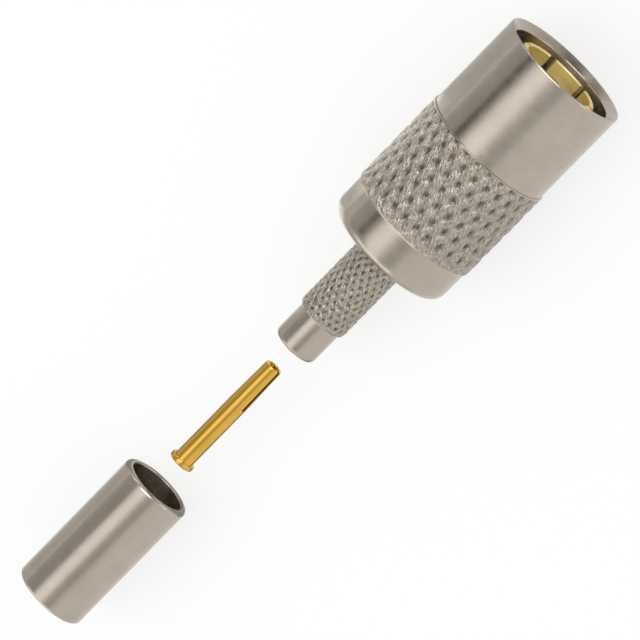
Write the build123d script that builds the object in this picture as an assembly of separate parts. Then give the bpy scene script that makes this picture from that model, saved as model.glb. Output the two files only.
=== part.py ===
from build123d import *
from math import cos, pi, sin
import os

# Straight crimp plug for thin coaxial cable, laid out as a kit along its own axis.
# The axis is X, the open mouth of the plug faces +X, and +Z is up. The origin is the
# front face of the spring collet, which is the plane where a mating jack seats.
# All sizes are in millimetres.

# What plugs in and what is crimped on
jack_barrel_r = 1.85        # outside of the jack's barrel, gripped by the collet
jack_bore_r = 1.50          # inside of the jack's barrel, entered by the insulator
jack_pin_r = 0.25           # centre pin of the jack
cable_core_r = 0.76         # dielectric of the cable, which enters the stem
wire_r = 0.25               # centre wire of the cable
grip_clearance = 0.02
nose_clearance = 0.025
pin_clearance = 0.01
core_clearance = 0.04
wire_clearance = 0.05
seat_clearance = 0.01       # between pieces that are pressed together
slide_clearance = 0.04      # between the centre contact and the insulator

# Plug body: skirt with a bevelled mouth, knurled grip, rounded rear
skirt_lead = 0.40           # the skirt stands this far in front of the collet
skirt_length = 5.0
skirt_r = 3.23
skirt_wall = 0.475
skirt_depth = 3.2           # depth of the space around the collet
lip_width = 0.10
bevel_depth = 0.30
lip_rounding = 0.04
grip_length = 5.0
grip_crest_r = 3.30
grip_root_r = 3.10
grip_core_r = 2.95
grip_teeth = 28
grip_rows = 7
grip_run_out = 0.15
rear_length = 1.9
rear_r = 3.20
rear_rounding = 0.62
edge_step = 0.03            # the knurled bands start this far above their neighbours

# Crimp stem, turned on the rear of the body
stem_grip_length = 4.25
stem_crest_r = 1.275
stem_root_r = 1.165
stem_core_r = 1.05
stem_teeth = 20
stem_rows = 13
stem_run_out = 0.12
stem_overlap = 0.30         # the stem's knurl runs this far into the body
stem_tip_length = 1.85
stem_tip_r = 1.105
stem_rounding = 0.25
stem_bore_rounding = 0.04
pocket_step = 0.20          # the pocket for the contact's flange is this much wider than the bore
pocket_slack = 0.05

# Spring collet
collet_wall = 0.28
collar_wall = 0.43
grip_land = 1.5             # the fingers grip the jack with this front stretch of their bore
finger_relief = 0.06        # from there to the fingers' root the bore widens by this much
collet_slots = 6
slot_width = 0.34
slot_root = 0.10            # solid metal between a slot's end and the floor of the skirt
slot_turn = -67.5           # degrees, from +Y towards +Z, of the first slot
collet_rounding = 0.05

# Insulator
insulator_recess = 1.6      # front face behind the collet's front face
insulator_nose_length = 2.8
insulator_length = 6.10
insulator_chamfer = 0.12

# Centre contact
contact_r = 0.485
contact_tip_r = 0.435
contact_tip_chamfer = 0.10
contact_flange_r = 0.63
contact_flange_length = 0.25
flange_rounding = 0.06
socket_depth = 2.8
slit_width = 0.12
slit_length = 2.5
slit_turn = 143.5           # degrees, from +Y towards +Z, of the first slit
slit_count = 2
wire_hole_depth = 2.4
mouth_chamfer = 0.06

# Crimp ferrule
ferrule_r = 1.80
ferrule_wall = 0.35
ferrule_length = 7.4
ferrule_rounding = 0.19
ferrule_bore_rounding = 0.07

# Spaces between the pieces as the kit is laid out
contact_gap = 1.27          # behind the stem
ferrule_gap = 1.56          # behind the centre contact

# Places along the axis that follow from the sizes above
mouth_x = skirt_lead
grip_front_x = mouth_x - skirt_length
grip_rear_x = grip_front_x - grip_length
body_rear_x = grip_rear_x - rear_length
stem_step_x = body_rear_x - stem_grip_length
stem_rear_x = stem_step_x - stem_tip_length
skirt_floor_x = mouth_x - skirt_depth
insulator_front_x = -insulator_recess
seat_x = insulator_front_x - insulator_length
pocket_x = seat_x - contact_flange_length - pocket_slack

# The seated contact ends level with the insulator's front face
contact_length = insulator_length + contact_flange_length
contact_front_x = stem_rear_x - contact_gap
contact_rear_x = contact_front_x - contact_length
ferrule_front_x = contact_rear_x - ferrule_gap
ferrule_rear_x = ferrule_front_x - ferrule_length

# Radii that follow from the fits
skirt_bore_r = skirt_r - skirt_wall
collet_bore_r = jack_barrel_r + grip_clearance
collet_r = collet_bore_r + collet_wall
collar_r = collet_bore_r + collar_wall
collar_seat_r = collar_r + seat_clearance
insulator_nose_r = jack_bore_r - nose_clearance
relief_r = collet_bore_r + finger_relief
insulator_seat_r = relief_r - seat_clearance
insulator_bore_r = contact_r + slide_clearance
stem_bore_r = cable_core_r + core_clearance
pocket_r = stem_bore_r + pocket_step
socket_r = jack_pin_r + pin_clearance
wire_hole_r = wire_r + wire_clearance
ferrule_bore_r = ferrule_r - ferrule_wall


def turned(outline, roundings=()):
    """Solid turned about X from an outline of (x, radius) corners, some of them rounded."""
    face = make_face(Polyline(*outline, close=True))
    for corner, radius in roundings:
        nearest = face.vertices().sort_by_distance(corner)[0]
        face = fillet(nearest, radius)
    return revolve(face, Axis.X)


def ring_corners(x, radii):
    """Corners of one ring about X, turned so that a flat of the knurl faces straight down."""
    step = 2 * pi / len(radii)
    angles = [(k + 0.5) * step - pi / 2 for k in range(len(radii))]
    return [Vector(x, r * cos(a), r * sin(a)) for a, r in zip(angles, radii)]


def knurl_band(rear, front, rear_edge_r, front_edge_r, crest_r, root_r, teeth, rows, run_out):
    """Full round band with rows of pyramids, a rim at each end and a bevel outside each rim."""
    spots = 2 * teeth
    rear_rim = rear + run_out
    row_pitch = (front - run_out - rear_rim) / rows
    rings = [ring_corners(rear, [rear_edge_r] * spots)]
    for row in range(rows + 1):
        is_rim = row in (0, rows)
        radii = [crest_r if is_rim or (row + k) % 2 == 0 else root_r for k in range(spots)]
        rings.append(ring_corners(rear_rim + row * row_pitch, radii))
    rings.append(ring_corners(front, [front_edge_r] * spots))

    faces = [Face(Wire.make_polygon(rings[0])), Face(Wire.make_polygon(rings[-1]))]
    for row, (ring, following) in enumerate(zip(rings, rings[1:])):
        for k in range(spots):
            a, b = ring[k], ring[(k + 1) % spots]
            c, d = following[(k + 1) % spots], following[k]
            # Each cell is folded along the bottom of a groove
            triangles = [(a, b, c), (a, c, d)] if (row + k) % 2 == 0 else [(a, b, d), (b, c, d)]
            faces += [Face(Wire.make_polygon(corners)) for corners in triangles]
    return Solid(Shell(faces))


def build_body():
    """Skirt, grip and crimp stem, all turned from one bar."""
    bar = turned(
        [
            (mouth_x, 0),
            (mouth_x, skirt_r),
            (grip_front_x, skirt_r),
            (grip_front_x, grip_core_r),
            (grip_rear_x, grip_core_r),
            (grip_rear_x, rear_r),
            (body_rear_x, rear_r),
            (body_rear_x, stem_core_r),
            (stem_step_x, stem_core_r),
            (stem_step_x, stem_tip_r),
            (stem_rear_x, stem_tip_r),
            (stem_rear_x, 0),
        ],
        [
            ((mouth_x, skirt_r), lip_rounding),
            ((body_rear_x, rear_r), rear_rounding),
            ((stem_rear_x, stem_tip_r), stem_rounding),
        ],
    )
    grip = knurl_band(
        grip_rear_x,
        grip_front_x,
        rear_r + edge_step,
        skirt_r + edge_step,
        grip_crest_r,
        grip_root_r,
        grip_teeth,
        grip_rows,
        grip_run_out,
    )
    stem_grip = knurl_band(
        stem_step_x,
        body_rear_x + stem_overlap,
        stem_tip_r + edge_step,
        stem_tip_r + edge_step,
        stem_crest_r,
        stem_root_r,
        stem_teeth,
        stem_rows,
        stem_run_out,
    )
    bore = turned(
        [
            (mouth_x, 0),
            (mouth_x, skirt_r - lip_width),
            (mouth_x - bevel_depth, skirt_bore_r),
            (skirt_floor_x, skirt_bore_r),
            (skirt_floor_x, collar_seat_r),
            (seat_x, collar_seat_r),
            (seat_x, pocket_r),
            (pocket_x, pocket_r),
            (pocket_x, stem_bore_r),
            (stem_rear_x + stem_bore_rounding, stem_bore_r),
            (stem_rear_x, stem_bore_r + stem_bore_rounding),
            (stem_rear_x, 0),
        ]
    )
    return bar + grip + stem_grip - bore


def build_collet():
    """Sprung outer contact: a collar pressed into the body, and slotted fingers in front."""
    collet = turned(
        [
            (0, collet_bore_r),
            (0, collet_r),
            (skirt_floor_x, collet_r),
            (skirt_floor_x, collar_r),
            (seat_x, collar_r),
            (seat_x, relief_r),
            (skirt_floor_x, relief_r),
            (-grip_land, collet_bore_r),
        ],
        [
            ((0, collet_r), collet_rounding),
            ((0, collet_bore_r), collet_rounding),
        ],
    )
    slot_length = -skirt_floor_x - slot_root
    cutter = Box(
        2 * slot_length,
        2 * collet_r,
        slot_width,
        align=(Align.CENTER, Align.MIN, Align.CENTER),
    )
    for slot in range(collet_slots):
        collet -= Rot(X=slot_turn + slot * 360 / collet_slots) * cutter
    return collet


def build_insulator():
    """Plastic bush that holds the centre contact in the middle of the collet."""
    shoulder_x = insulator_front_x - insulator_nose_length
    return turned(
        [
            (insulator_front_x, insulator_bore_r + mouth_chamfer),
            (insulator_front_x, insulator_nose_r - insulator_chamfer),
            (insulator_front_x - insulator_chamfer, insulator_nose_r),
            (shoulder_x, insulator_nose_r),
            (shoulder_x, insulator_seat_r),
            (seat_x, insulator_seat_r),
            (seat_x, insulator_bore_r),
            (insulator_front_x - mouth_chamfer, insulator_bore_r),
        ]
    )


def build_contact():
    """Socket for the jack's pin, with a flange and a hole for the cable's wire behind it."""
    flange_front_x = contact_rear_x + contact_flange_length
    contact = turned(
        [
            (contact_front_x, 0),
            (contact_front_x, contact_tip_r - contact_tip_chamfer),
            (contact_front_x - contact_tip_chamfer, contact_tip_r),
            (contact_front_x - slit_length, contact_r),
            (flange_front_x, contact_r),
            (flange_front_x, contact_flange_r),
            (contact_rear_x, contact_flange_r),
            (contact_rear_x, 0),
        ],
        [
            ((flange_front_x, contact_flange_r), flange_rounding),
            ((contact_rear_x, contact_flange_r), flange_rounding),
        ],
    )
    contact -= turned(
        [
            (contact_front_x, 0),
            (contact_front_x, socket_r + mouth_chamfer),
            (contact_front_x - mouth_chamfer, socket_r),
            (contact_front_x - socket_depth, socket_r),
            (contact_front_x - socket_depth, 0),
        ]
    )
    contact -= turned(
        [
            (contact_rear_x, 0),
            (contact_rear_x, wire_hole_r + mouth_chamfer),
            (contact_rear_x + mouth_chamfer, wire_hole_r),
            (contact_rear_x + wire_hole_depth, wire_hole_r),
            (contact_rear_x + wire_hole_depth, 0),
        ]
    )
    slit = Box(
        slit_length,
        2 * contact_r,
        slit_width,
        align=(Align.MAX, Align.MIN, Align.CENTER),
    )
    for k in range(slit_count):
        contact -= Pos(X=contact_front_x) * Rot(X=slit_turn + k * 360 / slit_count) * slit
    return contact


def build_ferrule():
    """Thin tube that is crimped over the cable's braid on the stem."""
    outline = [
        (ferrule_rear_x, ferrule_bore_r),
        (ferrule_rear_x, ferrule_r),
        (ferrule_front_x, ferrule_r),
        (ferrule_front_x, ferrule_bore_r),
    ]
    roundings = [ferrule_bore_rounding, ferrule_rounding, ferrule_rounding, ferrule_bore_rounding]
    return turned(outline, list(zip(outline, roundings)))


parts = {
    "plug_body": build_body(),
    "spring_collet": build_collet(),
    "insulator": build_insulator(),
    "centre_contact": build_contact(),
    "crimp_ferrule": build_ferrule(),
}

os.makedirs("parts", exist_ok=True)
for node, solid in parts.items():
    export_step(solid, f"parts/{node}.step")

print(f"contact travel to its seat {seat_x - contact_rear_x - contact_flange_length:.3f}")
print(f"ferrule travel to the body {body_rear_x - ferrule_front_x:.3f}")
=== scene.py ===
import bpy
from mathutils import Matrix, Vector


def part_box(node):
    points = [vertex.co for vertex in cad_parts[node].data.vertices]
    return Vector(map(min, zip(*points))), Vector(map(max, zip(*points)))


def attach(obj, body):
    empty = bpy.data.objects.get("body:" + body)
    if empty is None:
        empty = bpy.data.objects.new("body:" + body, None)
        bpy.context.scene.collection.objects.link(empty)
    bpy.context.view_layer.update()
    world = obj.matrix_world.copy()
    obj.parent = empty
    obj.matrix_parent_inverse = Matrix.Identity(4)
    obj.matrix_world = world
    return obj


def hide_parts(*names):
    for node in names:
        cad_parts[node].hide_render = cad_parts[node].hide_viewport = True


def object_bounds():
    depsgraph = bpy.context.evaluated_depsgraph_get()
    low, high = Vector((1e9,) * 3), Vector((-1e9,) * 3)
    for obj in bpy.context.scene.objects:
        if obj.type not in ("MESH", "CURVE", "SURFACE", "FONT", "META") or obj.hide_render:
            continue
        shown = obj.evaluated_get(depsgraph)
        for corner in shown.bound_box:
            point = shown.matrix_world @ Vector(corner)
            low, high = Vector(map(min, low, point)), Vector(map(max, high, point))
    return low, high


bl_info = {
    "name": "Coaxial Crimp Plug",
    "version": (1, 0, 0),
    "blender": (4, 5, 0),
    "location": "View3D > Sidebar > Crimp Plug",
    "description": "Knurled crimp plug with its spring collet, centre contact and ferrule",
    "category": "Add Mesh",
}

from collections import namedtuple
from math import asin, cos, pi, radians, sin

import bmesh
import bpy
import numpy as np
from mathutils import Matrix, Vector

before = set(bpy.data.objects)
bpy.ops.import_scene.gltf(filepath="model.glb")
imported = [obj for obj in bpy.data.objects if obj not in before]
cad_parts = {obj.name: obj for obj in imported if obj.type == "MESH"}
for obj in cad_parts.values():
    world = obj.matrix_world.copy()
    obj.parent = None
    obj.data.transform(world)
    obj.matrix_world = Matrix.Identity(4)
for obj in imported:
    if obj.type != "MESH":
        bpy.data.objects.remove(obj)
CAD_BOX = [list(corner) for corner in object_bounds()]

MM = 0.001

# Places read off the CAD parts from model.glb
BODY_REAR, BODY_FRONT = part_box("plug_body")
COLLET_REAR, COLLET_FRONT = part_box("spring_collet")
BUSH_REAR, BUSH_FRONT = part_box("insulator")
CONTACT_REAR, CONTACT_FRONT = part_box("centre_contact")
FERRULE_REAR, FERRULE_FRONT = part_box("crimp_ferrule")

# Fineness of the meshes
FINE_SEGMENTS = 560         # around skirt, grip and rear: 20 for each tooth of the grip
COARSE_SEGMENTS = 280       # around stem, bores, bush and ferrule: 14 for each tooth of the stem
GRIP_RINGS = 10             # to a half row of the grip's diamonds
STEM_RINGS = 6              # to a half row of the stem's diamonds
FINGER_CELLS = 24           # around each finger of a slotted tube
SLOT_CELLS = 3              # across each slot
ARC_STEPS = 6
SMALL_ARC_STEPS = 3
SMALL_ROUNDING = 0.08 * MM  # the largest one with few steps
SUPPORT = 0.03 * MM         # spare ring beside each rounding, which keeps long walls straight
SHARP_ANGLE = radians(38)   # an edge with a larger turn than this is shaded sharp

# Small edges and steps
EDGE = 0.05 * MM            # rounding of most inner edges
FINE_EDGE = 0.02 * MM       # rounding of the body's inner steps and at the foot of the flange
STEM_RIM = 0.03 * MM        # plain rim at each end of the stem's knurl
STEM_STEP = 0.06 * MM       # from the stem's plain tip up to its knurl
GRIP_STEP = 0.03 * MM       # from the land and the skirt up to the grip
REAR_FOOT = 0.02 * MM       # from the stem's knurl out to the body's rear face
HOLE_END = 0.1 * MM         # radius of the last ring on the floor of a blind hole

# Form of the knurls
GROOVE_SHARE = 0.42         # depth of a single groove, as a share of the pit where two cross
KNURL_PHASE = 0.25          # where the pattern starts underneath, as a share of a diamond
CHAMFER_CUT = 0.15          # share of the cut's depth where the chamfer starts
RIM_RISE = 0.6              # rise over the rear rim, in rim widths
RIM_RINGS = (0.25, 0.8)     # places of the spare rings on a rim, in rim widths from its edge
UNEVENNESS = 0.06           # how far the diamonds' heights differ from each other
UNEVEN_COUNT = 56           # diamonds before those heights repeat, twice the teeth of the grip
UNEVEN_SEED = 7


def length(label, text, metres):
    """A property that holds a length."""
    return bpy.props.FloatProperty(
        name=label, description=text, default=metres, min=0, unit="LENGTH", precision=5
    )


def share(label, text, value, low=0.0, high=1.0):
    """A property that holds a plain number."""
    return bpy.props.FloatProperty(
        name=label, description=text, default=value, min=low, max=high
    )


def count(label, text, value):
    """A property that holds a whole number."""
    return bpy.props.IntProperty(name=label, description=text, default=value, min=1)


def angle(label, text, degrees):
    """A property that holds an angle, stored in radians."""
    return bpy.props.FloatProperty(
        name=label, description=text, default=radians(degrees), subtype="ANGLE"
    )


def colour(label, text, values):
    """A property that holds a colour."""
    return bpy.props.FloatVectorProperty(
        name=label, description=text, default=values, size=3, min=0, max=1, subtype="COLOR"
    )


class BodySizes(bpy.types.PropertyGroup):
    """Skirt, grip, rear and stem of the plug body."""

    skirt_radius: length("Skirt radius", "Outside of the plain skirt", 3.23 * MM)
    skirt_length: length("Skirt length", "From the mouth to the grip", 5.0 * MM)
    skirt_wall: length("Skirt wall", "Thickness of the skirt", 0.475 * MM)
    skirt_depth: length("Skirt depth", "Depth of the space around the collet", 3.2 * MM)
    lip_width: length("Lip width", "Flat ring at the very mouth", 0.10 * MM)
    bevel_depth: length("Bevel depth", "How deep the mouth's bevel goes", 0.30 * MM)
    lip_rounding: length("Lip rounding", "Rounding of the mouth's outer edge", 0.07 * MM)
    bevel_rounding: length("Bevel rounding", "Rounding between lip and bevel", 0.025 * MM)
    collar_seat: length("Collar seat", "Radius of the bore that holds the collet", 2.31 * MM)
    pocket_radius: length("Pocket radius", "Radius of the pocket for the flange", 1.0 * MM)
    pocket_depth: length("Pocket depth", "Depth of the pocket for the flange", 0.3 * MM)
    grip_length: length("Grip length", "Length of the knurled grip", 5.0 * MM)
    grip_crest: length("Grip crest", "Radius over the grip's diamonds", 3.30 * MM)
    grip_root: length("Grip root", "Radius at the bottom of the grip's pits", 3.16 * MM)
    grip_flat: share("Grip flats", "Share of the pitch left flat between grooves", 0.24)
    grip_chamfer: length("Grip chamfer", "Length of the chamfer at the grip's rear", 0.32 * MM)
    grip_teeth: count("Grip teeth", "Diamonds around the grip", 28)
    grip_rows: count("Grip rows", "Half rows of diamonds along the grip", 7)
    rim_width: length("Rim width", "Plain rim at each end of the grip", 0.09 * MM)
    rear_length: length("Rear length", "Plain land behind the grip", 1.9 * MM)
    rear_radius: length("Rear radius", "Outside of the land behind the grip", 3.20 * MM)
    rear_rounding: length("Rear rounding", "Rounding of the body's rear edge", 0.62 * MM)
    stem_grip_length: length("Stem grip", "Length of the stem's knurl", 4.25 * MM)
    stem_crest: length("Stem crest", "Radius over the stem's diamonds", 1.275 * MM)
    stem_root: length("Stem root", "Radius in the stem's pits", 1.195 * MM)
    stem_flat: share("Stem flats", "Share of the pitch left flat between grooves", 0.20)
    stem_chamfer: length("Stem chamfer", "Length of the chamfer at the stem's step", 0.10 * MM)
    stem_teeth: count("Stem teeth", "Diamonds around the stem", 20)
    stem_rows: count("Stem rows", "Half rows of diamonds along the stem", 13)
    tip_radius: length("Tip radius", "Outside of the stem's plain tip", 1.105 * MM)
    tip_rounding: length("Tip rounding", "Rounding at the stem's end", 0.25 * MM)
    stem_bore: length("Stem bore", "Radius of the hole for the cable", 0.80 * MM)


class ColletSizes(bpy.types.PropertyGroup):
    """Slotted spring collet inside the skirt."""

    bore: length("Bore", "Radius of the fingers' grip", 1.87 * MM)
    grip_land: length("Grip land", "Length of the stretch that grips", 1.5 * MM)
    relief: length("Relief", "Radius of the bore at the fingers' root", 1.93 * MM)
    finger_radius: length("Finger radius", "Outside of the fingers", 2.15 * MM)
    tip_rounding: length("Tip rounding", "Rounding at the fingers' front", 0.14 * MM)
    collar_radius: length("Collar radius", "Outside of the pressed collar", 2.30 * MM)
    collar_front: length("Collar depth", "From the fingers' front to the collar", 2.8 * MM)
    slots: count("Slots", "Number of slots between the fingers", 6)
    slot_width: length("Slot width", "Width of each slot", 0.34 * MM)
    slot_length: length("Slot length", "Length of each slot", 2.7 * MM)
    slot_turn: angle("Slot turn", "Place of the first slot around the axis", -67.5)


class BushSizes(bpy.types.PropertyGroup):
    """Plastic bush that holds the centre contact."""

    nose_radius: length("Nose radius", "Outside of the nose", 1.475 * MM)
    nose_length: length("Nose length", "Length of the nose", 2.8 * MM)
    nose_rounding: length("Nose rounding", "Rounding at the nose's front", 0.12 * MM)
    bore: length("Bore", "Radius of the hole for the contact", 0.525 * MM)
    hole_rounding: length("Hole rounding", "Rounding at the front of the hole", 0.06 * MM)


class ContactSizes(bpy.types.PropertyGroup):
    """Centre contact."""

    radius: length("Radius", "Outside of the barrel", 0.485 * MM)
    tip_radius: length("Tip radius", "Outside of the slit tip", 0.435 * MM)
    tip_rounding: length("Tip rounding", "Rounding at the tip's front", 0.09 * MM)
    flange_length: length("Flange length", "Thickness of the flange", 0.25 * MM)
    flange_rounding: length("Flange rounding", "Rounding of the flange's edges", 0.06 * MM)
    socket: length("Socket", "Radius of the socket for the pin", 0.26 * MM)
    socket_depth: length("Socket depth", "Depth of the socket", 2.8 * MM)
    slits: count("Slits", "Number of slits in the tip", 2)
    slit_width: length("Slit width", "Width of each slit", 0.12 * MM)
    slit_length: length("Slit length", "Length of each slit", 2.5 * MM)
    slit_turn: angle("Slit turn", "Place of the first slit around the axis", 143.5)
    wire_hole: length("Wire hole", "Radius of the hole for the wire", 0.30 * MM)
    wire_depth: length("Wire depth", "Depth of the hole for the wire", 2.4 * MM)
    wire_rounding: length("Wire rounding", "Rounding of the wire hole's edge", 0.04 * MM)


class FerruleSizes(bpy.types.PropertyGroup):
    """Crimp ferrule."""

    wall: length("Wall", "Thickness of the tube", 0.35 * MM)
    rounding: length("Rounding", "Rounding of the outer edges", 0.19 * MM)
    bore_rounding: length("Bore rounding", "Rounding of the inner edges", 0.07 * MM)


class FinishValues(bpy.types.PropertyGroup):
    """Colours and gloss of the finishes, with the painted light and shade on the knurls."""

    nickel: colour("Nickel", "Satin nickel plate", (0.445, 0.392, 0.328))
    nickel_roughness: share("Nickel roughness", "Gloss of the nickel", 0.27)
    # Painted light: a lighter copy of the nickel plate's colour, for the knurls
    lit_knurl_nickel: colour("Knurl nickel", "Nickel plate on the knurls", (0.61, 0.54, 0.455))
    knurl_roughness: share("Knurl roughness", "Gloss of the nickel on the knurls", 0.27)
    # Painted shade: how dark the knurl's colour is left at the bottom of its pits
    pit_shade_level: share("Pit level", "Brightness left at the bottom of the knurl's pits", 0.42)
    tear_level: share("Tear level", "Brightness left at the bottom of the torn streaks", 0.32)
    tear_depth: length("Tear depth", "Depth of the torn streaks on the knurls", 0.085 * MM)
    gold: colour("Gold", "Thin gold plate", (0.68, 0.41, 0.075))
    pale_gold: colour("Pale gold", "Gold plate of the collet", (0.84, 0.69, 0.32))
    gold_roughness: share("Gold roughness", "Gloss of the gold", 0.22)
    pale_gold_roughness: share("Pale gold roughness", "Gloss of the collet", 0.44)
    plastic: colour("Plastic", "Waxy white plastic", (0.86, 0.85, 0.81))
    plastic_roughness: share("Plastic roughness", "Gloss of the plastic", 0.42)


class StageValues(bpy.types.PropertyGroup):
    """Camera, light and floor."""

    view_tilt: angle("View tilt", "How far the camera leans towards the mouth", 15.2)
    view_roll: angle("View roll", "Turn of the picture about the line of sight", 45.6)
    distance: length("Distance", "From the camera to the axis", 361.2 * MM)
    look_at: bpy.props.FloatProperty(
        name="Look at", description="Place on the axis in mid-picture", default=-15.83 * MM
    )
    frame_width: length("Frame width", "Width of the view at the axis", 28.894 * MM)


PROPERTY_GROUPS = {
    "plug_body_sizes": BodySizes,
    "plug_collet_sizes": ColletSizes,
    "plug_bush_sizes": BushSizes,
    "plug_contact_sizes": ContactSizes,
    "plug_ferrule_sizes": FerruleSizes,
    "plug_finish": FinishValues,
    "plug_stage": StageValues,
}


# Outlines and meshes


def rounded(corners, closed=True):
    """Points of an outline of (x, radius, rounding) corners, with an arc at each rounded one."""
    points = []
    for k, (x, r, rounding) in enumerate(corners):
        inner = closed or 0 < k < len(corners) - 1
        if rounding == 0 or not inner:
            points.append((x, r))
            continue
        corner = np.array((x, r))
        before = np.array(corners[k - 1][:2]) - corner
        after = np.array(corners[(k + 1) % len(corners)][:2]) - corner
        u = before / np.linalg.norm(before)
        w = after / np.linalg.norm(after)
        half = 0.5 * np.arccos(np.clip(u @ w, -1, 1))
        reach = rounding / np.tan(half)
        centre = corner + (u + w) / np.linalg.norm(u + w) * rounding / np.sin(half)
        start = corner + u * reach - centre
        end = corner + w * reach - centre
        sweep = pi - 2 * half
        if np.linalg.norm(before) > 2 * (reach + SUPPORT):
            points.append(tuple(corner + u * (reach + SUPPORT)))
        steps = ARC_STEPS if rounding > SMALL_ROUNDING else SMALL_ARC_STEPS
        for step in range(steps + 1):
            t = step / steps
            spot = (np.sin((1 - t) * sweep) * start + np.sin(t * sweep) * end) / np.sin(sweep)
            points.append(tuple(centre + spot))
        if np.linalg.norm(after) > 2 * (reach + SUPPORT):
            points.append(tuple(corner + w * (reach + SUPPORT)))
    return points


def placed(name, data):
    """A new object with this mesh, light or camera, linked to the scene."""
    thing = bpy.data.objects.new(name, data)
    bpy.context.scene.collection.objects.link(thing)
    return thing


class Skin:
    """Vertices and faces of one piece, gathered ring by ring about the X axis."""

    def __init__(self):
        self.points = []
        self.heights = []
        self.faces = []
        self.knurled = []

    def ring(self, x, radii, angles, heights=1.0):
        """
        Adds one ring and returns its vertex numbers. Angles go from +Y towards +Z. Heights are
        0 in the pits of a knurl and 1 elsewhere.
        """
        first = len(self.points)
        radii = np.broadcast_to(radii, len(angles))
        self.points += [(x, r * cos(a), r * sin(a)) for r, a in zip(radii, angles)]
        self.heights += list(np.broadcast_to(heights, len(angles)))
        return list(range(first, first + len(angles)))

    def pole(self, x):
        """Adds one point on the axis."""
        self.points.append((x, 0, 0))
        self.heights.append(1.0)
        return len(self.points) - 1

    def wall(self, one, two, wrap=True, leaning=None):
        """Faces between two rings, which may have as many points or one twice as many."""
        if len(one) == 2 * len(two):
            self.step_wall(one, two)
        elif len(two) == 2 * len(one):
            self.step_wall(two, one)
        else:
            cells = len(one) if wrap else len(one) - 1
            for k in range(cells):
                n = (k + 1) % len(one)
                if leaning is None:
                    self.faces.append((one[k], one[n], two[n], two[k]))
                elif leaning[k]:
                    self.faces += [(one[k], one[n], two[n]), (one[k], two[n], two[k])]
                else:
                    self.faces += [(one[k], one[n], two[k]), (one[n], two[n], two[k])]

    def step_wall(self, fine, coarse):
        """Faces between a ring and one of half as many points."""
        for k in range(len(coarse)):
            n = (k + 1) % len(coarse)
            a, b, c = fine[2 * k], fine[2 * k + 1], fine[(2 * k + 2) % len(fine)]
            self.faces += [(a, b, coarse[k]), (b, coarse[n], coarse[k]), (b, c, coarse[n])]

    def walls(self, rings, wrap=True):
        """Faces between each ring and the next."""
        for one, two in zip(rings, rings[1:]):
            self.wall(one, two, wrap)

    def fan(self, ring, pole):
        """Faces between a ring and a point on the axis."""
        for k in range(len(ring)):
            self.faces.append((ring[k], ring[(k + 1) % len(ring)], pole))

    def piece(self, name, *materials):
        """The finished mesh object. A second material goes on the knurled faces."""
        mesh = bpy.data.meshes.new(name)
        mesh.from_pydata(self.points, [], self.faces)
        shape = bmesh.new()
        shape.from_mesh(mesh)
        bmesh.ops.recalc_face_normals(shape, faces=shape.faces)
        # That can turn all faces of a hollow shape inward, which makes its volume negative
        if shape.calc_volume(signed=True) < 0:
            bmesh.ops.reverse_faces(shape, faces=shape.faces)
        shape.to_mesh(mesh)
        shape.free()
        mesh.polygons.foreach_set("use_smooth", [True] * len(mesh.polygons))
        mesh.set_sharp_from_angle(angle=SHARP_ANGLE)
        for material in materials:
            mesh.materials.append(material)
        for face in self.knurled:
            mesh.polygons[face].material_index = 1
        # The knurl's material reads these heights to paint shade into its pits
        if self.knurled:
            cut = mesh.attributes.new("knurl_height", "FLOAT", "POINT")
            cut.data.foreach_set("value", self.heights)
        return placed(name, mesh)


def around(segments):
    """Evenly spaced angles, one to a segment."""
    return [2 * pi * k / segments for k in range(segments)]


def dress(piece, body, node):
    """Hangs a piece under the empty of the body that it rides, and hides the node that it replaces.
    """
    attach(piece, body)
    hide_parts(node)


def diamonds(around_axis, along_axis, flat_share, unevenness):
    """
    Height from 0 where two grooves cross to 1 on the tops between them, and which way the faces
    there are split. Places count pitches around the axis and along it.
    """
    first = around_axis + along_axis
    second = around_axis - along_axis
    to_first = np.abs(first - np.round(first))
    to_second = np.abs(second - np.round(second))
    half = 0.5 * (1 - flat_share)
    near = 0.5 + 0.5 * np.cos(pi * np.minimum(np.minimum(to_first, to_second) / half, 1))
    far = 0.5 + 0.5 * np.cos(pi * np.minimum(np.maximum(to_first, to_second) / half, 1))
    height = 1 - GROOVE_SHARE * near - (1 - GROOVE_SHARE) * far
    row = np.floor(first).astype(int)
    column = np.floor(second).astype(int)
    table = np.random.RandomState(UNEVEN_SEED).uniform(-1, 1, (UNEVEN_COUNT, UNEVEN_COUNT))
    spot = ((row - column) % UNEVEN_COUNT, (row + column) % UNEVEN_COUNT)
    uneven = table[spot] * unevenness
    rising = to_first < to_second
    return height * (1 + uneven), rising


# One knurled band: its ends, its radii, its counts, and the sizes of flats, rims and chamfer
Band = namedtuple("Band", "rear front root crest teeth rows flat rim chamfer")


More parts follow.
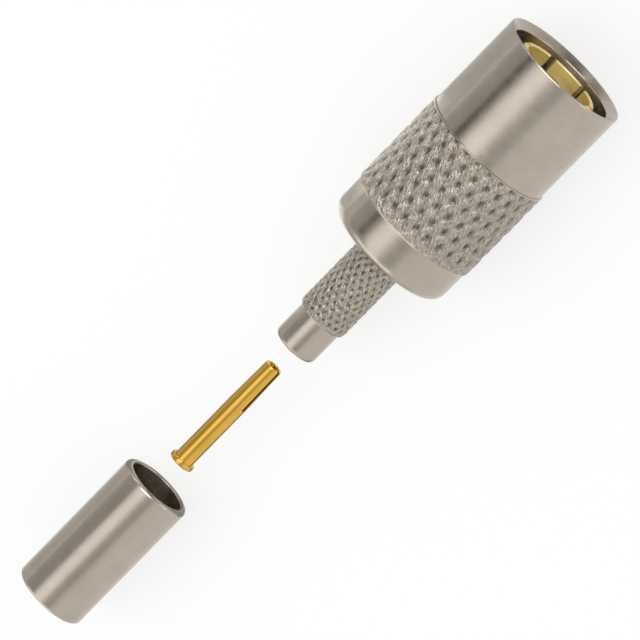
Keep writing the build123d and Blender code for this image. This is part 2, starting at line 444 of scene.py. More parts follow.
def knurl(skin, segments, band, rings, edge_radii):
    """
    Rings of a knurled band from rear to front, joined to each other, with so many to a half row
    of diamonds. Returns the end rings.
    """
    angles = np.array(around(segments))
    start = band.rear + band.rim
    pitch = (band.front - band.rim - start) / band.rows
    rise = (band.rear, start, start + band.chamfer)
    tops = (edge_radii[0], edge_radii[0] + RIM_RISE * band.rim, band.crest)
    depths = (0.0, CHAMFER_CUT, 1.0)
    across = band.teeth * (angles + pi / 2) / (2 * pi) + KNURL_PHASE
    first = skin.ring(band.rear, edge_radii[0], angles)
    before = first
    plain = [band.rear + place * band.rim for place in RIM_RINGS]
    steps = [start + step * pitch / rings for step in range(band.rows * rings + 1)]
    ends = [band.front - place * band.rim for place in reversed(RIM_RINGS)]
    lean = None
    for x in plain + steps + ends:
        top = np.interp(x, rise, tops)
        along = (x - start) / (2 * pitch)
        cut = 1 - diamonds(across, along, band.flat, UNEVENNESS)[0] if x in steps else 0.0
        height = 1 - cut * np.interp(x, rise, depths)
        radii = np.minimum(top, band.root + (band.crest - band.root) * height)
        ring = skin.ring(x, radii, angles, height)
        face = len(skin.faces)
        skin.wall(before, ring, leaning=lean if x in steps[1:] else None)
        if x in steps[1:]:
            skin.knurled += range(face, len(skin.faces))
        half_segment = 0.5 * band.teeth / segments
        half_step = 0.25 / rings
        lean = diamonds(across + half_segment, along + half_step, band.flat, 0)[1]
        before = ring
    last = skin.ring(band.front, edge_radii[1], angles)
    skin.wall(before, last)
    return first, last


def slotted(skin, tips, outer, inner, slots, width, turn, joined):
    """
    A tube whose front is cut into fingers. tips is the outline around a finger's end, from
    outside to inside. outer and inner are the outlines behind the slots' floor, whose first
    points lie on that floor. They meet at the rear, or each end in a point on the axis.
    """
    def columns(radius):
        half = asin(0.5 * width / radius)
        pitch = 2 * pi / slots
        angles = []
        for k in range(slots):
            centre = turn + k * pitch
            angles += [centre - half + 2 * half * i / SLOT_CELLS for i in range(SLOT_CELLS)]
            start = centre + half
            run = pitch - 2 * half
            angles += [start + run * i / FINGER_CELLS for i in range(FINGER_CELLS)]
        return angles

    def full_ring(point):
        return skin.ring(point[0], point[1], columns(point[1]))

    outside = [full_ring(point) for point in outer]
    inside = [full_ring(point) for point in inner]
    skin.walls(outside)
    skin.walls(inside)
    if joined:
        skin.wall(outside[-1], inside[-1])
    else:
        skin.fan(outside[-1], skin.pole(outer[-1][0]))
        skin.fan(inside[-1], skin.pole(inner[-1][0]))

    total = slots * (SLOT_CELLS + FINGER_CELLS)
    for k in range(slots):
        base = k * (SLOT_CELLS + FINGER_CELLS)
        floor = [(base + i) % total for i in range(SLOT_CELLS + 1)]
        finger = [(base + SLOT_CELLS + i) % total for i in range(FINGER_CELLS + 1)]
        skin.wall([outside[0][i] for i in floor], [inside[0][i] for i in floor], wrap=False)
        strips = [[outside[0][i] for i in finger]]
        for x, r in tips:
            angles = columns(r)
            strips.append(skin.ring(x, r, [angles[i] for i in finger]))
        strips.append([inside[0][i] for i in finger])
        skin.walls(strips, wrap=False)
        skin.faces.append([strip[0] for strip in strips])
        skin.faces.append([strip[-1] for strip in strips])


def turned(line):
    """The skin of a closed outline, turned about the axis."""
    skin = Skin()
    rings = [skin.ring(x, r, around(COARSE_SEGMENTS)) for x, r in line]
    skin.walls(rings + rings[:1])
    return skin


class Tree:
    """Nodes of a material or of the world, and short ways to add the ones in common use."""

    def __init__(self, owner):
        owner.use_nodes = True
        self.nodes = owner.node_tree.nodes
        self.links = owner.node_tree.links

    def feed(self, socket, value):
        """Gives a socket another node's output, or a plain number or colour."""
        if isinstance(value, bpy.types.NodeSocket):
            self.links.new(value, socket)
        else:
            socket.default_value = value

    def place(self):
        """Object coordinates."""
        return self.nodes.new("ShaderNodeTexCoord").outputs["Object"]

    def split(self, vector):
        """The X, Y and Z of a vector."""
        node = self.nodes.new("ShaderNodeSeparateXYZ")
        self.feed(node.inputs["Vector"], vector)
        return node.outputs

    def maths(self, operation, first, second, clamp=False):
        """Result of a Math node."""
        node = self.nodes.new("ShaderNodeMath")
        node.operation = operation
        node.use_clamp = clamp
        self.feed(node.inputs[0], first)
        self.feed(node.inputs[1], second)
        return node.outputs["Value"]

    def ranged(self, source, start, end, low=0.0, high=1.0):
        """Maps the values from start to end to those from low to high."""
        node = self.nodes.new("ShaderNodeMapRange")
        limits = {"From Min": start, "From Max": end, "To Min": low, "To Max": high}
        for name, value in limits.items():
            node.inputs[name].default_value = value
        self.feed(node.inputs["Value"], source)
        return node.outputs["Result"]

    def spread(self, source, low, high):
        """Maps the middle of a noise's values to a range."""
        return self.ranged(source, *NOISE_MIDDLE, low, high)

    def mixed(self, factor, first, second, blend="MIX"):
        """Colour of a Mix node, whose colours go in at 6 and 7 and come out at 2."""
        node = self.nodes.new("ShaderNodeMix")
        node.data_type = "RGBA"
        node.blend_type = blend
        self.feed(node.inputs[0], factor)
        self.feed(node.inputs[6], first)
        self.feed(node.inputs[7], second)
        return node.outputs[2]

    def bump(self, height, depth, under=None):
        """Normal of a Bump node, on top of another one's where that is given."""
        node = self.nodes.new("ShaderNodeBump")
        node.inputs["Distance"].default_value = depth
        self.feed(node.inputs["Height"], height)
        if under is not None:
            self.feed(node.inputs["Normal"], under)
        return node.outputs["Normal"]

    def noise(self, vector, detail=3.0, roughness=0.6):
        """Noise with one wave to each unit of the vector."""
        node = self.nodes.new("ShaderNodeTexNoise")
        node.inputs["Scale"].default_value = 1.0
        node.inputs["Detail"].default_value = detail
        node.inputs["Roughness"].default_value = roughness
        self.feed(node.inputs["Vector"], vector)
        return node.outputs["Fac"]

    def waves(self, scale, detail=3.0):
        """Noise with the given number of waves to a millimetre along each axis."""
        mapping = self.nodes.new("ShaderNodeMapping")
        mapping.inputs["Scale"].default_value = [s / MM for s in scale]
        self.feed(mapping.inputs["Vector"], self.place())
        return self.noise(mapping.outputs["Vector"], detail)


# Finishes

CLOUD_WAVES = (0.9, 0.9, 0.9)       # to a millimetre, in the plate's faint clouds
GLOSS_WAVES = (3.0, 1.2, 1.2)       # in its uneven gloss
RING_WAVES = (22.0, 0.25, 0.25)     # in the rings that the lathe leaves under it
GRAIN_WAVES = (14.0, 14.0, 14.0)    # in its grain
WAX_WAVES = (1.5, 1.5, 1.5)         # in the plastic's clouds
MARK_WAVES = (18.0, 0.4, 0.4)       # in the turning marks on the plastic
CLOUD_LEVELS = (0.94, 1.05)         # shares of the plate's colour in its clouds
GLOSS_LEVELS = (0.85, 1.15)         # shares of the plate's roughness
WAX_LEVEL = 0.96                    # share of the plastic's colour in its clouds
WAX_DEPTH = 0.4 * MM                # how far light spreads in the plastic
MARK_DEPTH = 0.002 * MM             # of the turning marks on the plastic
NOISE_MIDDLE = (0.3, 0.7)           # the range that most values of a noise lie in
PIT_SHADE_HEIGHTS = (0.05, 0.6)           # heights on the knurls over which the painted shade in the pits fades out towards the tops
TEAR_LENGTH = 0.25 * MM             # of the torn streaks on the knurls
TEAR_WIDTH = 0.08 * MM
TEAR_TURN = radians(27)             # of the streaks, from the axis towards +Y
QUARTER_TURN = 0.25                 # turns the drawn-out highlights across the lathe's rings


def new_material(name):
    """A node material with its tree and its Principled shader."""
    material = bpy.data.materials.new(name)
    tree = Tree(material)
    return material, tree, tree.nodes["Principled BSDF"]


def torn_streaks(tree):
    """Noise drawn out into short streaks, which wind around the axis. Its seam is underneath."""
    place = tree.place()
    parts = tree.split(place)
    turn = tree.maths("ARCTAN2", parts["Y"], parts["Z"])
    across = tree.nodes.new("ShaderNodeVectorMath")
    across.operation = "MULTIPLY"
    across.inputs[1].default_value = (0, 1, 1)
    tree.feed(across.inputs[0], place)
    radius = tree.nodes.new("ShaderNodeVectorMath")
    radius.operation = "LENGTH"
    tree.feed(radius.inputs[0], across.outputs["Vector"])
    unrolled = tree.nodes.new("ShaderNodeCombineXYZ")
    tree.feed(unrolled.inputs["X"], parts["X"])
    tree.feed(unrolled.inputs["Y"], tree.maths("MULTIPLY", turn, radius.outputs["Value"]))
    mapping = tree.nodes.new("ShaderNodeMapping")
    mapping.vector_type = "TEXTURE"
    mapping.inputs["Rotation"].default_value = (0, 0, TEAR_TURN)
    mapping.inputs["Scale"].default_value = (TEAR_LENGTH, TEAR_WIDTH, 1)
    tree.feed(mapping.inputs["Vector"], unrolled.outputs["Vector"])
    return tree.noise(mapping.outputs["Vector"], detail=2.0, roughness=0.7)


def tear(tree, depth, pit_shade_level, tear_level):
    """Tears the surface of a knurl: streaks over everything, with a darker colour at their bottoms,
    and painted shade in the pits where grooves cross.
    """
    shader = tree.nodes["Principled BSDF"]
    height = tree.nodes.new("ShaderNodeAttribute")
    height.attribute_name = "knurl_height"
    # Painted shade: the colour darkens towards the bottom of the knurl's pits
    pits = tree.ranged(height.outputs["Fac"], *PIT_SHADE_HEIGHTS, pit_shade_level)
    streaks = torn_streaks(tree)
    level = tree.maths("MULTIPLY", pits, tree.spread(streaks, tear_level, 1))
    plate_colour = shader.inputs["Base Color"].links[0].from_socket
    tree.feed(shader.inputs["Base Color"], tree.mixed(1.0, plate_colour, level, blend="MULTIPLY"))
    smooth = shader.inputs["Normal"].links[0].from_socket
    tree.feed(shader.inputs["Normal"], tree.bump(streaks, depth, smooth))


def plated_metal(name, tint, roughness, grain_depth, ring_depth, anisotropy):
    """Turned metal under thin plate: fine rings from the lathe, a soft grain, cloudy gloss."""
    material, tree, shader = new_material(name)
    shader.inputs["Metallic"].default_value = 1.0
    shader.inputs["Anisotropic"].default_value = anisotropy
    shader.inputs["Anisotropic Rotation"].default_value = QUARTER_TURN
    tangent = tree.nodes.new("ShaderNodeTangent")
    tangent.direction_type = "RADIAL"
    tangent.axis = "X"
    tree.feed(shader.inputs["Tangent"], tangent.outputs["Tangent"])

    cloud = tree.spread(tree.waves(CLOUD_WAVES, detail=4.0), 0, 1)
    dark, light = [(*[min(level * c, 1) for c in tint], 1) for level in CLOUD_LEVELS]
    tree.feed(shader.inputs["Base Color"], tree.mixed(cloud, dark, light))
    glossy, dull = [level * roughness for level in GLOSS_LEVELS]
    gloss = tree.waves(GLOSS_WAVES, detail=4.0)
    tree.feed(shader.inputs["Roughness"], tree.spread(gloss, glossy, dull))
    rings = tree.bump(tree.waves(RING_WAVES), ring_depth)
    grain = tree.bump(tree.waves(GRAIN_WAVES), grain_depth, rings)
    tree.feed(shader.inputs["Normal"], grain)
    return material


def nickel():
    """Satin nickel plate, shared by the body and the ferrule."""
    values = bpy.context.scene.plug_finish
    return bpy.data.materials.get("satin_nickel") or plated_metal(
        "satin_nickel", values.nickel, values.nickel_roughness,
        grain_depth=0.0006 * MM, ring_depth=0.0005 * MM, anisotropy=0.6,
    )


def knurled_nickel():
    """The same plate on the knurls, where the cut faces are torn and glitter. Its colour is a
    lighter copy of the plate's, as painted light, and its pits get painted shade.
    """
    values = bpy.context.scene.plug_finish
    material = plated_metal(
        "knurled_nickel", values.lit_knurl_nickel, values.knurl_roughness,
        grain_depth=0.0012 * MM, ring_depth=0.0, anisotropy=0.0,
    )
    tear(Tree(material), values.tear_depth, values.pit_shade_level, values.tear_level)
    return material


def gold():
    """Gold plate of the centre contact."""
    values = bpy.context.scene.plug_finish
    return plated_metal(
        "thin_gold", values.gold, values.gold_roughness,
        grain_depth=0.0008 * MM, ring_depth=0.0004 * MM, anisotropy=0.5,
    )


def pale_gold():
    """Paler gold plate of the collet."""
    values = bpy.context.scene.plug_finish
    return plated_metal(
        "pale_gold", values.pale_gold, values.pale_gold_roughness,
        grain_depth=0.0008 * MM, ring_depth=0.0004 * MM, anisotropy=0.0,
    )


def waxy_plastic():
    """White plastic with a waxy, faintly cloudy look."""
    values = bpy.context.scene.plug_finish
    material, tree, shader = new_material("waxy_plastic")
    cloud = tree.spread(tree.waves(WAX_WAVES), 0, 1)
    dark = (*[WAX_LEVEL * c for c in values.plastic], 1)
    light = (*values.plastic, 1)
    tree.feed(shader.inputs["Base Color"], tree.mixed(cloud, dark, light))
    shader.inputs["Roughness"].default_value = values.plastic_roughness
    shader.inputs["Subsurface Weight"].default_value = 0.15
    shader.inputs["Subsurface Radius"].default_value = (WAX_DEPTH, WAX_DEPTH, WAX_DEPTH)
    tree.feed(shader.inputs["Normal"], tree.bump(tree.waves(MARK_WAVES), MARK_DEPTH))
    return material


# Operators, one for each piece


class PLUG_OT_body(bpy.types.Operator):
    """Build the body: skirt, knurled grip, rounded rear and knurled stem in one skin"""

    bl_idname = "plug.body"
    bl_label = "Plug body"

    def execute(self, context):
        size = context.scene.plug_body_sizes
        mouth = BODY_FRONT.x
        stem_rear = BODY_REAR.x
        grip_front = mouth - size.skirt_length
        grip_rear = grip_front - size.grip_length
        rear = grip_rear - size.rear_length
        stem_step = rear - size.stem_grip_length
        seat = COLLET_REAR.x
        pocket = seat - size.pocket_depth
        bore = size.skirt_radius - size.skirt_wall
        floor = mouth - size.skirt_depth
        mouth_line = rounded(
            [
                (grip_front, size.skirt_radius, 0),
                (mouth, size.skirt_radius, size.lip_rounding),
                (mouth, size.skirt_radius - size.lip_width, size.bevel_rounding),
                (mouth - size.bevel_depth, bore, EDGE),
                (floor, bore, EDGE),
                (floor, size.collar_seat, 0),
            ],
            closed=False,
        )
        inner_line = rounded(
            [
                (floor - SUPPORT, size.collar_seat, 0),
                (seat, size.collar_seat, EDGE),
                (seat, size.pocket_radius, FINE_EDGE),
                (pocket, size.pocket_radius, FINE_EDGE),
                (pocket, size.stem_bore, FINE_EDGE),
                (stem_rear, size.stem_bore, EDGE),
                (stem_rear, size.tip_radius, size.tip_rounding),
                (stem_step, size.tip_radius, 0),
            ],
            closed=False,
        )
        rear_line = rounded(
            [
                (rear, size.stem_crest + REAR_FOOT, 0),
                (rear, size.rear_radius, size.rear_rounding),
                (grip_rear, size.rear_radius, 0),
            ],
            closed=False,
        )
        skin = Skin()
        fine = around(FINE_SEGMENTS)
        coarse = around(COARSE_SEGMENTS)
        mouth_rings = [skin.ring(x, r, fine) for x, r in mouth_line]
        inner_rings = [skin.ring(x, r, coarse) for x, r in inner_line]
        rear_rings = [skin.ring(x, r, fine) for x, r in rear_line]
        stem_band = Band(
            stem_step, rear, size.stem_root, size.stem_crest, size.stem_teeth, size.stem_rows,
            size.stem_flat, STEM_RIM, size.stem_chamfer,
        )
        grip_band = Band(
            grip_rear, grip_front, size.grip_root, size.grip_crest, size.grip_teeth,
            size.grip_rows, size.grip_flat, size.rim_width, size.grip_chamfer,
        )
        stem_edges = (size.tip_radius + STEM_STEP, size.stem_crest)
        grip_edges = (size.rear_radius + GRIP_STEP, size.skirt_radius + GRIP_STEP)
        stem_ends = knurl(skin, COARSE_SEGMENTS, stem_band, STEM_RINGS, stem_edges)
        grip_ends = knurl(skin, FINE_SEGMENTS, grip_band, GRIP_RINGS, grip_edges)
        skin.walls([*mouth_rings, *inner_rings, stem_ends[0]])
        skin.walls([stem_ends[1], *rear_rings, grip_ends[0]])
        skin.wall(grip_ends[1], mouth_rings[0])
        piece = skin.piece("knurled_body", nickel(), knurled_nickel())
        dress(piece, "plug", "plug_body")
        return {"FINISHED"}


class PLUG_OT_collet(bpy.types.Operator):
    """Build the gold spring collet with its six fingers"""

    bl_idname = "plug.collet"
    bl_label = "Spring collet"

    def execute(self, context):
        size = context.scene.plug_collet_sizes
        front = COLLET_FRONT.x
        rear = COLLET_REAR.x
        slot_floor = front - size.slot_length
        land = front - size.grip_land
        collar = front - size.collar_front
        tips = rounded(
            [
                (slot_floor, size.finger_radius, 0),
                (front, size.finger_radius, size.tip_rounding),
                (front, size.bore, EDGE),
                (land, size.bore, 0),
                (slot_floor, size.relief, 0),
            ],
            closed=False,
        )[1:-1]
        outer = [
            (slot_floor, size.finger_radius),
            (collar, size.finger_radius),
            (collar, size.collar_radius),
            (rear, size.collar_radius),
        ]
        inner = [(slot_floor, size.relief), (rear, size.relief)]
        skin = Skin()
        slotted(skin, tips, outer, inner, size.slots, size.slot_width, size.slot_turn, True)
        piece = skin.piece("collet_fingers", pale_gold())
        dress(piece, "plug", "spring_collet")
        return {"FINISHED"}


class PLUG_OT_bush(bpy.types.Operator):
    """Build the white bush that holds the centre contact"""

    bl_idname = "plug.bush"
    bl_label = "Insulator"

    def execute(self, context):
        size = context.scene.plug_bush_sizes
        front = BUSH_FRONT.x
        rear = BUSH_REAR.x
        radius = BUSH_FRONT.z
        shoulder = front - size.nose_length
        line = rounded(
            [
                (front, size.bore, size.hole_rounding),
                (front, size.nose_radius, size.nose_rounding),
                (shoulder, size.nose_radius, EDGE),
                (shoulder, radius, EDGE),
                (rear, radius, EDGE),
                (rear, size.bore, EDGE),
            ]
        )
        piece = turned(line).piece("contact_bush", waxy_plastic())
        dress(piece, "plug", "insulator")
        return {"FINISHED"}


class PLUG_OT_contact(bpy.types.Operator):
    """Build the gold centre contact with its slit tip and flange"""

    bl_idname = "plug.contact"
    bl_label = "Centre contact"

    def execute(self, context):
        size = context.scene.plug_contact_sizes
        front = CONTACT_FRONT.x
        rear = CONTACT_REAR.x
        flange = CONTACT_FRONT.z
        flange_front = rear + size.flange_length
        slit_floor = front - size.slit_length
        socket_floor = front - size.socket_depth
        wire_floor = rear + size.wire_depth
        tips = rounded(
            [
                (slit_floor, size.radius, 0),
                (front, size.tip_radius, size.tip_rounding),
                (front, size.socket, EDGE),
                (slit_floor, size.socket, 0),
            ],
            closed=False,
        )[1:-1]
        outer = rounded(
            [
                (slit_floor, size.radius, 0),
                (flange_front, size.radius, FINE_EDGE),
                (flange_front, flange, size.flange_rounding),
                (rear, flange, size.flange_rounding),
                (rear, size.wire_hole, size.wire_rounding),
                (wire_floor, size.wire_hole, 0),
                (wire_floor, HOLE_END, 0),
            ],
            closed=False,
        )
        inner = [(slit_floor, size.socket), (socket_floor, size.socket), (socket_floor, HOLE_END)]
        skin = Skin()
        slotted(skin, tips, outer, inner, size.slits, size.slit_width, size.slit_turn, False)
        piece = skin.piece("contact_pin_socket", gold())
        dress(piece, "contact", "centre_contact")
        return {"FINISHED"}


class PLUG_OT_ferrule(bpy.types.Operator):
    """Build the crimp ferrule"""

    bl_idname = "plug.ferrule"
    bl_label = "Crimp ferrule"

    def execute(self, context):
        size = context.scene.plug_ferrule_sizes
        radius = FERRULE_FRONT.z
        bore = radius - size.wall
        line = rounded(
            [
                (FERRULE_REAR.x, bore, size.bore_rounding),
                (FERRULE_REAR.x, radius, size.rounding),
                (FERRULE_FRONT.x, radius, size.rounding),
                (FERRULE_FRONT.x, bore, size.bore_rounding),
            ]
        )
        piece = turned(line).piece("ferrule_tube", nickel())
        dress(piece, "ferrule", "crimp_ferrule")
        return {"FINISHED"}


# Stage

# Brightness of the light tent by angle about the axis, in degrees from straight up.
# Minus is the +Y side. 1 is white.
TENT_LEVELS = [
    (-180, 1.0),
    (-140, 0.85),
    (-105, 0.65),
    (-82, 0.55),
    (-70, 0.50),
    (-58, 0.47),
    (-50, 0.42),
    (-43, 0.46),
    (-36, 1.25),
    (-22, 1.5),
    (-9, 1.35),
    (0, 0.75),
    (12, 0.55),
    (22, 0.62),
    (32, 0.95),
    (60, 1.0),
    (180, 1.0),
]
TENT_GAIN = 1.6             # the strongest glow that the tent's levels can ask for
TENT_RADIUS = 0.30
TENT_END = (0.7, 0.95)      # where the tent darkens ahead of the mouth, as shares of its radius
TENT_END_LEVEL = 0.3        # share of its glow left there

WHITE = (1, 1, 1, 1)
WORLD_LEVEL = 0.72          # even light from all round, where 1 is white
FLOOR_RADIUS = 1.5
FLOOR_GREY = (0.34, 0.34, 0.34, 1)
FLOOR_LIFT = 0.70           # added to the floor where it's seen as background, which makes it white
LAMP_WIDTH = 0.30
LAMP_HEIGHT = 0.16
LAMP_POWER = 0.20
LAMP_DISTANCE = 0.28
TOWARDS_LAMP = Vector((-0.26, 0.33, 0.90)).normalized()
SENSOR_WIDTH = 36.0         # of the camera, in its own millimetres
CLIP_START = 0.01
CLIP_END = 10

# Places that the cards are measured from
AXIS = Vector((0, 0, 0))
ON_FLOOR = Vector((0, 0, CAD_BOX[0][2]))
MOUTH = Vector((BODY_FRONT.x, 0, 0))
MOUTH_FLOOR = MOUTH + ON_FLOOR
STEM_FLOOR = Vector((BODY_REAR.x, 0, 0)) + ON_FLOOR
CONTACT_FLOOR = Vector((CONTACT_REAR.x, 0, 0)) + ON_FLOOR
FERRULE_FLOOR = Vector((FERRULE_FRONT.x, 0, 0)) + ON_FLOOR
KIT_REAR = Vector((FERRULE_REAR.x, 0, 0))

UP = (0, 0, 1)
FORWARD = (1, 0, 0)
BACKWARD = (-1, 0, 0)
SKIRT_LEAN = radians(49.5)  # of the skirt's card, from straight up towards +Y
SKIRT_REACH = 20            # of that card from the axis, in millimetres
OVER_SKIRT = (-9, SKIRT_REACH * sin(SKIRT_LEAN), SKIRT_REACH * cos(SKIRT_LEAN))
TO_SKIRT = (0, -sin(SKIRT_LEAN), -cos(SKIRT_LEAN))

# Cards around the part, in millimetres and degrees. A level of 1 is white. Each row gives the
# name, the place that the centre is measured from, the centre, the way that the card faces, its
# width and height, its level, and its turn where it lies flat.
CARDS = [
    ("skirt_card", AXIS, OVER_SKIRT, TO_SKIRT, 17, 3.6, 0.10, 0),
    ("mouth_card", MOUTH_FLOOR, (24, 5, 5), BACKWARD, 18, 10, 0.05, 0),
    ("spark_card", MOUTH_FLOOR, (23.5, 8.6, 4.4), BACKWARD, 3.4, 6, 4.5, 0),
    ("lip_card", MOUTH_FLOOR, (13, 6.2, 0.04), UP, 21.6, 13.4, 0.05, 0),
    ("rim_card", FERRULE_FLOOR, (1.1, -0.3, 0.05), UP, 2.1, 2.4, 0.25, 0),
    ("front_card", MOUTH, (40, 16, 66), (-0.5, -0.2, -0.84), 60, 52, 4.5, 0),
    ("left_glitter_card", ON_FLOOR, (27, 52, 21), (-0.5, -0.8, -0.32), 36, 26, 3.0, 0),
    ("right_glitter_card", ON_FLOOR, (27, -52, 21), (-0.5, 0.8, -0.32), 36, 26, 3.5, 0),
    ("rear_card", KIT_REAR, (-60, 20, 18), FORWARD, 90, 34, 1.9, 0),
    ("side_card", STEM_FLOOR, (0, 27, 0.06), UP, 90, 46, 0.70, 0),
    ("left_contact_card", CONTACT_FLOOR, (1.6, 4.8, 0.07), UP, 8.4, 6.4, 0.45, 0),
    ("right_contact_card", CONTACT_FLOOR, (1.6, -4.8, 0.07), UP, 8.4, 6.4, 0.45, 0),
    ("grip_card", ON_FLOOR, (-9.5, 11, 0.08), UP, 4.8, 14.5, 1.7, 16),
    ("stem_card", ON_FLOOR, (-15.5, 7.5, 0.08), UP, 4.1, 9, 1.4, 16),
]


def glowing(name):
    """A material that only gives off light, with its shader."""
    material, tree, shader = new_material(name)
    tree.nodes.remove(shader)
    glow = tree.nodes.new("ShaderNodeEmission")
    tree.feed(tree.nodes["Material Output"].inputs["Surface"], glow.outputs["Emission"])
    return material, glow


def hide_outside_reflections(thing):
    """Leaves a stage piece to be seen in reflections alone."""
    thing.visible_camera = False
    thing.visible_diffuse = False
    thing.visible_shadow = False
    thing.visible_volume_scatter = False


def background_share(tree):
    """1 for rays that see the background: from the camera, a mirror or through glass."""
    path = tree.nodes.new("ShaderNodeLightPath").outputs
    seen = tree.maths("ADD", path["Is Camera Ray"], path["Is Glossy Ray"])
    return tree.maths("ADD", seen, path["Is Transmission Ray"], clamp=True)


def make_tent():
    """Light tent around the part, seen only in its reflections."""
    shape = bmesh.new()
    bmesh.ops.create_icosphere(shape, subdivisions=4, radius=TENT_RADIUS)
    mesh = bpy.data.meshes.new("light_tent")
    shape.to_mesh(mesh)
    shape.free()
    tent = placed("light_tent", mesh)
    tent.location = (bpy.context.scene.plug_stage.look_at, 0, 0)
    material, glow = glowing("tent_cloth")
    tree = Tree(material)
    parts = tree.split(tree.place())
    turn = tree.maths("ARCTAN2", tree.maths("MULTIPLY", parts["Y"], -1), parts["Z"])
    ramp = tree.nodes.new("ShaderNodeValToRGB")
    stops = ramp.color_ramp.elements
    while len(stops) > 1:
        stops.remove(stops[-1])
    for k, (degrees, value) in enumerate(TENT_LEVELS):
        where = (degrees + 180) / 360
        stop = stops[0] if k == 0 else stops.new(where)
        stop.position = where
        stop.color = (*[value / TENT_GAIN] * 3, 1)
    tree.feed(ramp.inputs["Fac"], tree.ranged(turn, -pi, pi))
    tree.feed(glow.inputs["Color"], ramp.outputs["Color"])
    start, end = [place * TENT_RADIUS for place in TENT_END]
    end_gain = TENT_END_LEVEL * TENT_GAIN
    strength = tree.ranged(parts["X"], start, end, TENT_GAIN, end_gain)
    tree.feed(glow.inputs["Strength"], strength)
    mesh.materials.append(material)
    hide_outside_reflections(tent)


def make_card(name, centre, facing, width, height, level, turn):
    """
    A card beside the part, seen only in its reflections. Its width lies along X or Y, and a
    card that lies flat can be turned from there.
    """
    mesh = bpy.data.meshes.new(name)
    corners = [(-1, -1), (1, -1), (1, 1), (-1, 1)]
    points = [(0.5 * width * a, 0.5 * height * b, 0) for a, b in corners]
    mesh.from_pydata(points, [], [(0, 1, 2, 3)])
    card = placed(name, mesh)
    towards = Vector(facing).normalized()
    side = Vector(FORWARD) if abs(towards.x) < 0.5 else Vector((0, 1, 0))
    side = Matrix.Rotation(turn, 3, "Z") @ side
    facing_turn = Matrix((side, towards.cross(side), towards)).transposed().to_4x4()
    card.matrix_world = Matrix.Translation(centre) @ facing_turn
    material, glow = glowing(name)
    glow.inputs["Strength"].default_value = level
    mesh.materials.append(material)
    hide_outside_reflections(card)


def make_cards():
    """
    Cards that draw what the tent alone doesn't: dark lines on the skirt, the mouth and the
    ferrule's rim, the contact's darker flanks, sparks on the fingers and the grip, and the light
    on the left side of grip and stem.
    """
    for name, origin, offset, facing, width, height, level, turn in CARDS:
        centre = origin + MM * Vector(offset)
        make_card(name, centre, facing, width * MM, height * MM, level, radians(turn))


def make_floor():
    """Plain pale floor that keeps the part's shadow."""
    shape = bmesh.new()
    bmesh.ops.create_circle(shape, cap_ends=True, segments=96, radius=FLOOR_RADIUS)
    mesh = bpy.data.meshes.new("floor")
    shape.to_mesh(mesh)
    shape.free()
    floor = placed("floor", mesh)
    floor.location = ON_FLOOR + Vector((bpy.context.scene.plug_stage.look_at, 0, 0))
    material, tree, shader = new_material("pale_floor")
    shader.inputs["Base Color"].default_value = FLOOR_GREY
    shader.inputs["Roughness"].default_value = 0.9
    shader.inputs["Specular IOR Level"].default_value = 0.0
    shader.inputs["Emission Color"].default_value = WHITE
    lift = tree.maths("MULTIPLY", background_share(tree), FLOOR_LIFT)
    tree.feed(shader.inputs["Emission Strength"], lift)
    mesh.materials.append(material)


def make_world():
    """White background, with an even grey light for the soft surfaces."""
    world = bpy.data.worlds.new("studio")
    bpy.context.scene.world = world
    tree = Tree(world)
    light = tree.nodes["Background"]
    light.inputs["Color"].default_value = WHITE
    light.inputs["Strength"].default_value = WORLD_LEVEL
    white = tree.nodes.new("ShaderNodeBackground")
    white.inputs["Color"].default_value = WHITE
    mix = tree.nodes.new("ShaderNodeMixShader")
    tree.feed(mix.inputs["Fac"], background_share(tree))
    tree.feed(mix.inputs[1], light.outputs["Background"])
    tree.feed(mix.inputs[2], white.outputs["Background"])
    tree.feed(tree.nodes["World Output"].inputs["Surface"], mix.outputs["Shader"])


def make_lamp():
    """Soft box above the part, a little to the left."""
    data = bpy.data.lights.new("soft_box", "AREA")
    data.shape = "RECTANGLE"
    data.size = LAMP_WIDTH
    data.size_y = LAMP_HEIGHT
    data.energy = LAMP_POWER
    lamp = placed("soft_box", data)
    target = Vector((bpy.context.scene.plug_stage.look_at, 0, 0))
    lamp.location = target + LAMP_DISTANCE * TOWARDS_LAMP
    lamp.rotation_euler = TOWARDS_LAMP.to_track_quat("Z", "X").to_euler()
    lamp.visible_glossy = False
    lamp.visible_camera = False


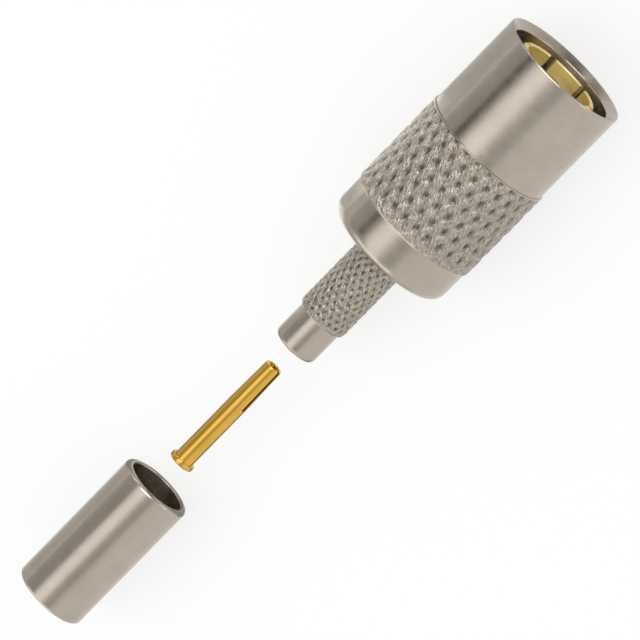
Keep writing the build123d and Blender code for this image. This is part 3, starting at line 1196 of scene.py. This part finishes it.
def make_camera():
    """Camera above the part, leaning towards the mouth and rolled so that the axis is diagonal."""
    stage = bpy.context.scene.plug_stage
    back = Vector((sin(stage.view_tilt), 0, cos(stage.view_tilt)))
    along = Vector((cos(stage.view_tilt), 0, -sin(stage.view_tilt)))
    across = Vector((0, -1, 0))
    right = cos(stage.view_roll) * along + sin(stage.view_roll) * across
    up = sin(stage.view_roll) * along - cos(stage.view_roll) * across
    data = bpy.data.cameras.new("view")
    data.sensor_width = SENSOR_WIDTH
    data.lens = data.sensor_width * stage.distance / stage.frame_width
    data.clip_start = CLIP_START
    data.clip_end = CLIP_END
    camera = placed("view", data)
    turn = Matrix((right, up, back)).transposed().to_4x4()
    target = Vector((stage.look_at, 0, 0))
    camera.matrix_world = Matrix.Translation(target + stage.distance * back) @ turn
    bpy.context.scene.camera = camera


class PLUG_OT_stage(bpy.types.Operator):
    """Set the pale floor, the light tent with its cards, the soft light and the camera"""

    bl_idname = "plug.stage"
    bl_label = "Stage"

    def execute(self, context):
        context.scene.view_settings.view_transform = "Standard"
        make_world()
        make_floor()
        make_tent()
        make_cards()
        make_lamp()
        make_camera()
        return {"FINISHED"}


OPERATORS = [
    PLUG_OT_stage,
    PLUG_OT_body,
    PLUG_OT_collet,
    PLUG_OT_bush,
    PLUG_OT_contact,
    PLUG_OT_ferrule,
]


class PLUG_PT_panel(bpy.types.Panel):
    """Sizes, finishes and pieces of the crimp plug"""

    bl_idname = "PLUG_PT_panel"
    bl_label = "Crimp Plug"
    bl_space_type = "VIEW_3D"
    bl_region_type = "UI"
    bl_category = "Crimp Plug"

    def draw(self, context):
        for operator in OPERATORS:
            self.layout.operator(operator.bl_idname)
        for name, group in PROPERTY_GROUPS.items():
            box = self.layout.box()
            box.label(text=group.__doc__)
            for value in group.__annotations__:
                box.prop(getattr(context.scene, name), value)


def register():
    """Registers the groups of values, the operators and the panel."""
    for name, group in PROPERTY_GROUPS.items():
        bpy.utils.register_class(group)
        setattr(bpy.types.Scene, name, bpy.props.PointerProperty(type=group))
    for item in OPERATORS + [PLUG_PT_panel]:
        bpy.utils.register_class(item)


def unregister():
    """Takes back what register did."""
    for item in reversed(OPERATORS + [PLUG_PT_panel]):
        bpy.utils.unregister_class(item)
    for name, group in reversed(PROPERTY_GROUPS.items()):
        delattr(bpy.types.Scene, name)
        bpy.utils.unregister_class(group)


def main():
    """Registers the add-on's classes, then builds the stage and every piece."""
    register()
    bpy.ops.plug.stage()
    bpy.ops.plug.body()
    bpy.ops.plug.collet()
    bpy.ops.plug.bush()
    bpy.ops.plug.contact()
    bpy.ops.plug.ferrule()


if __name__ == "__main__":
    main()
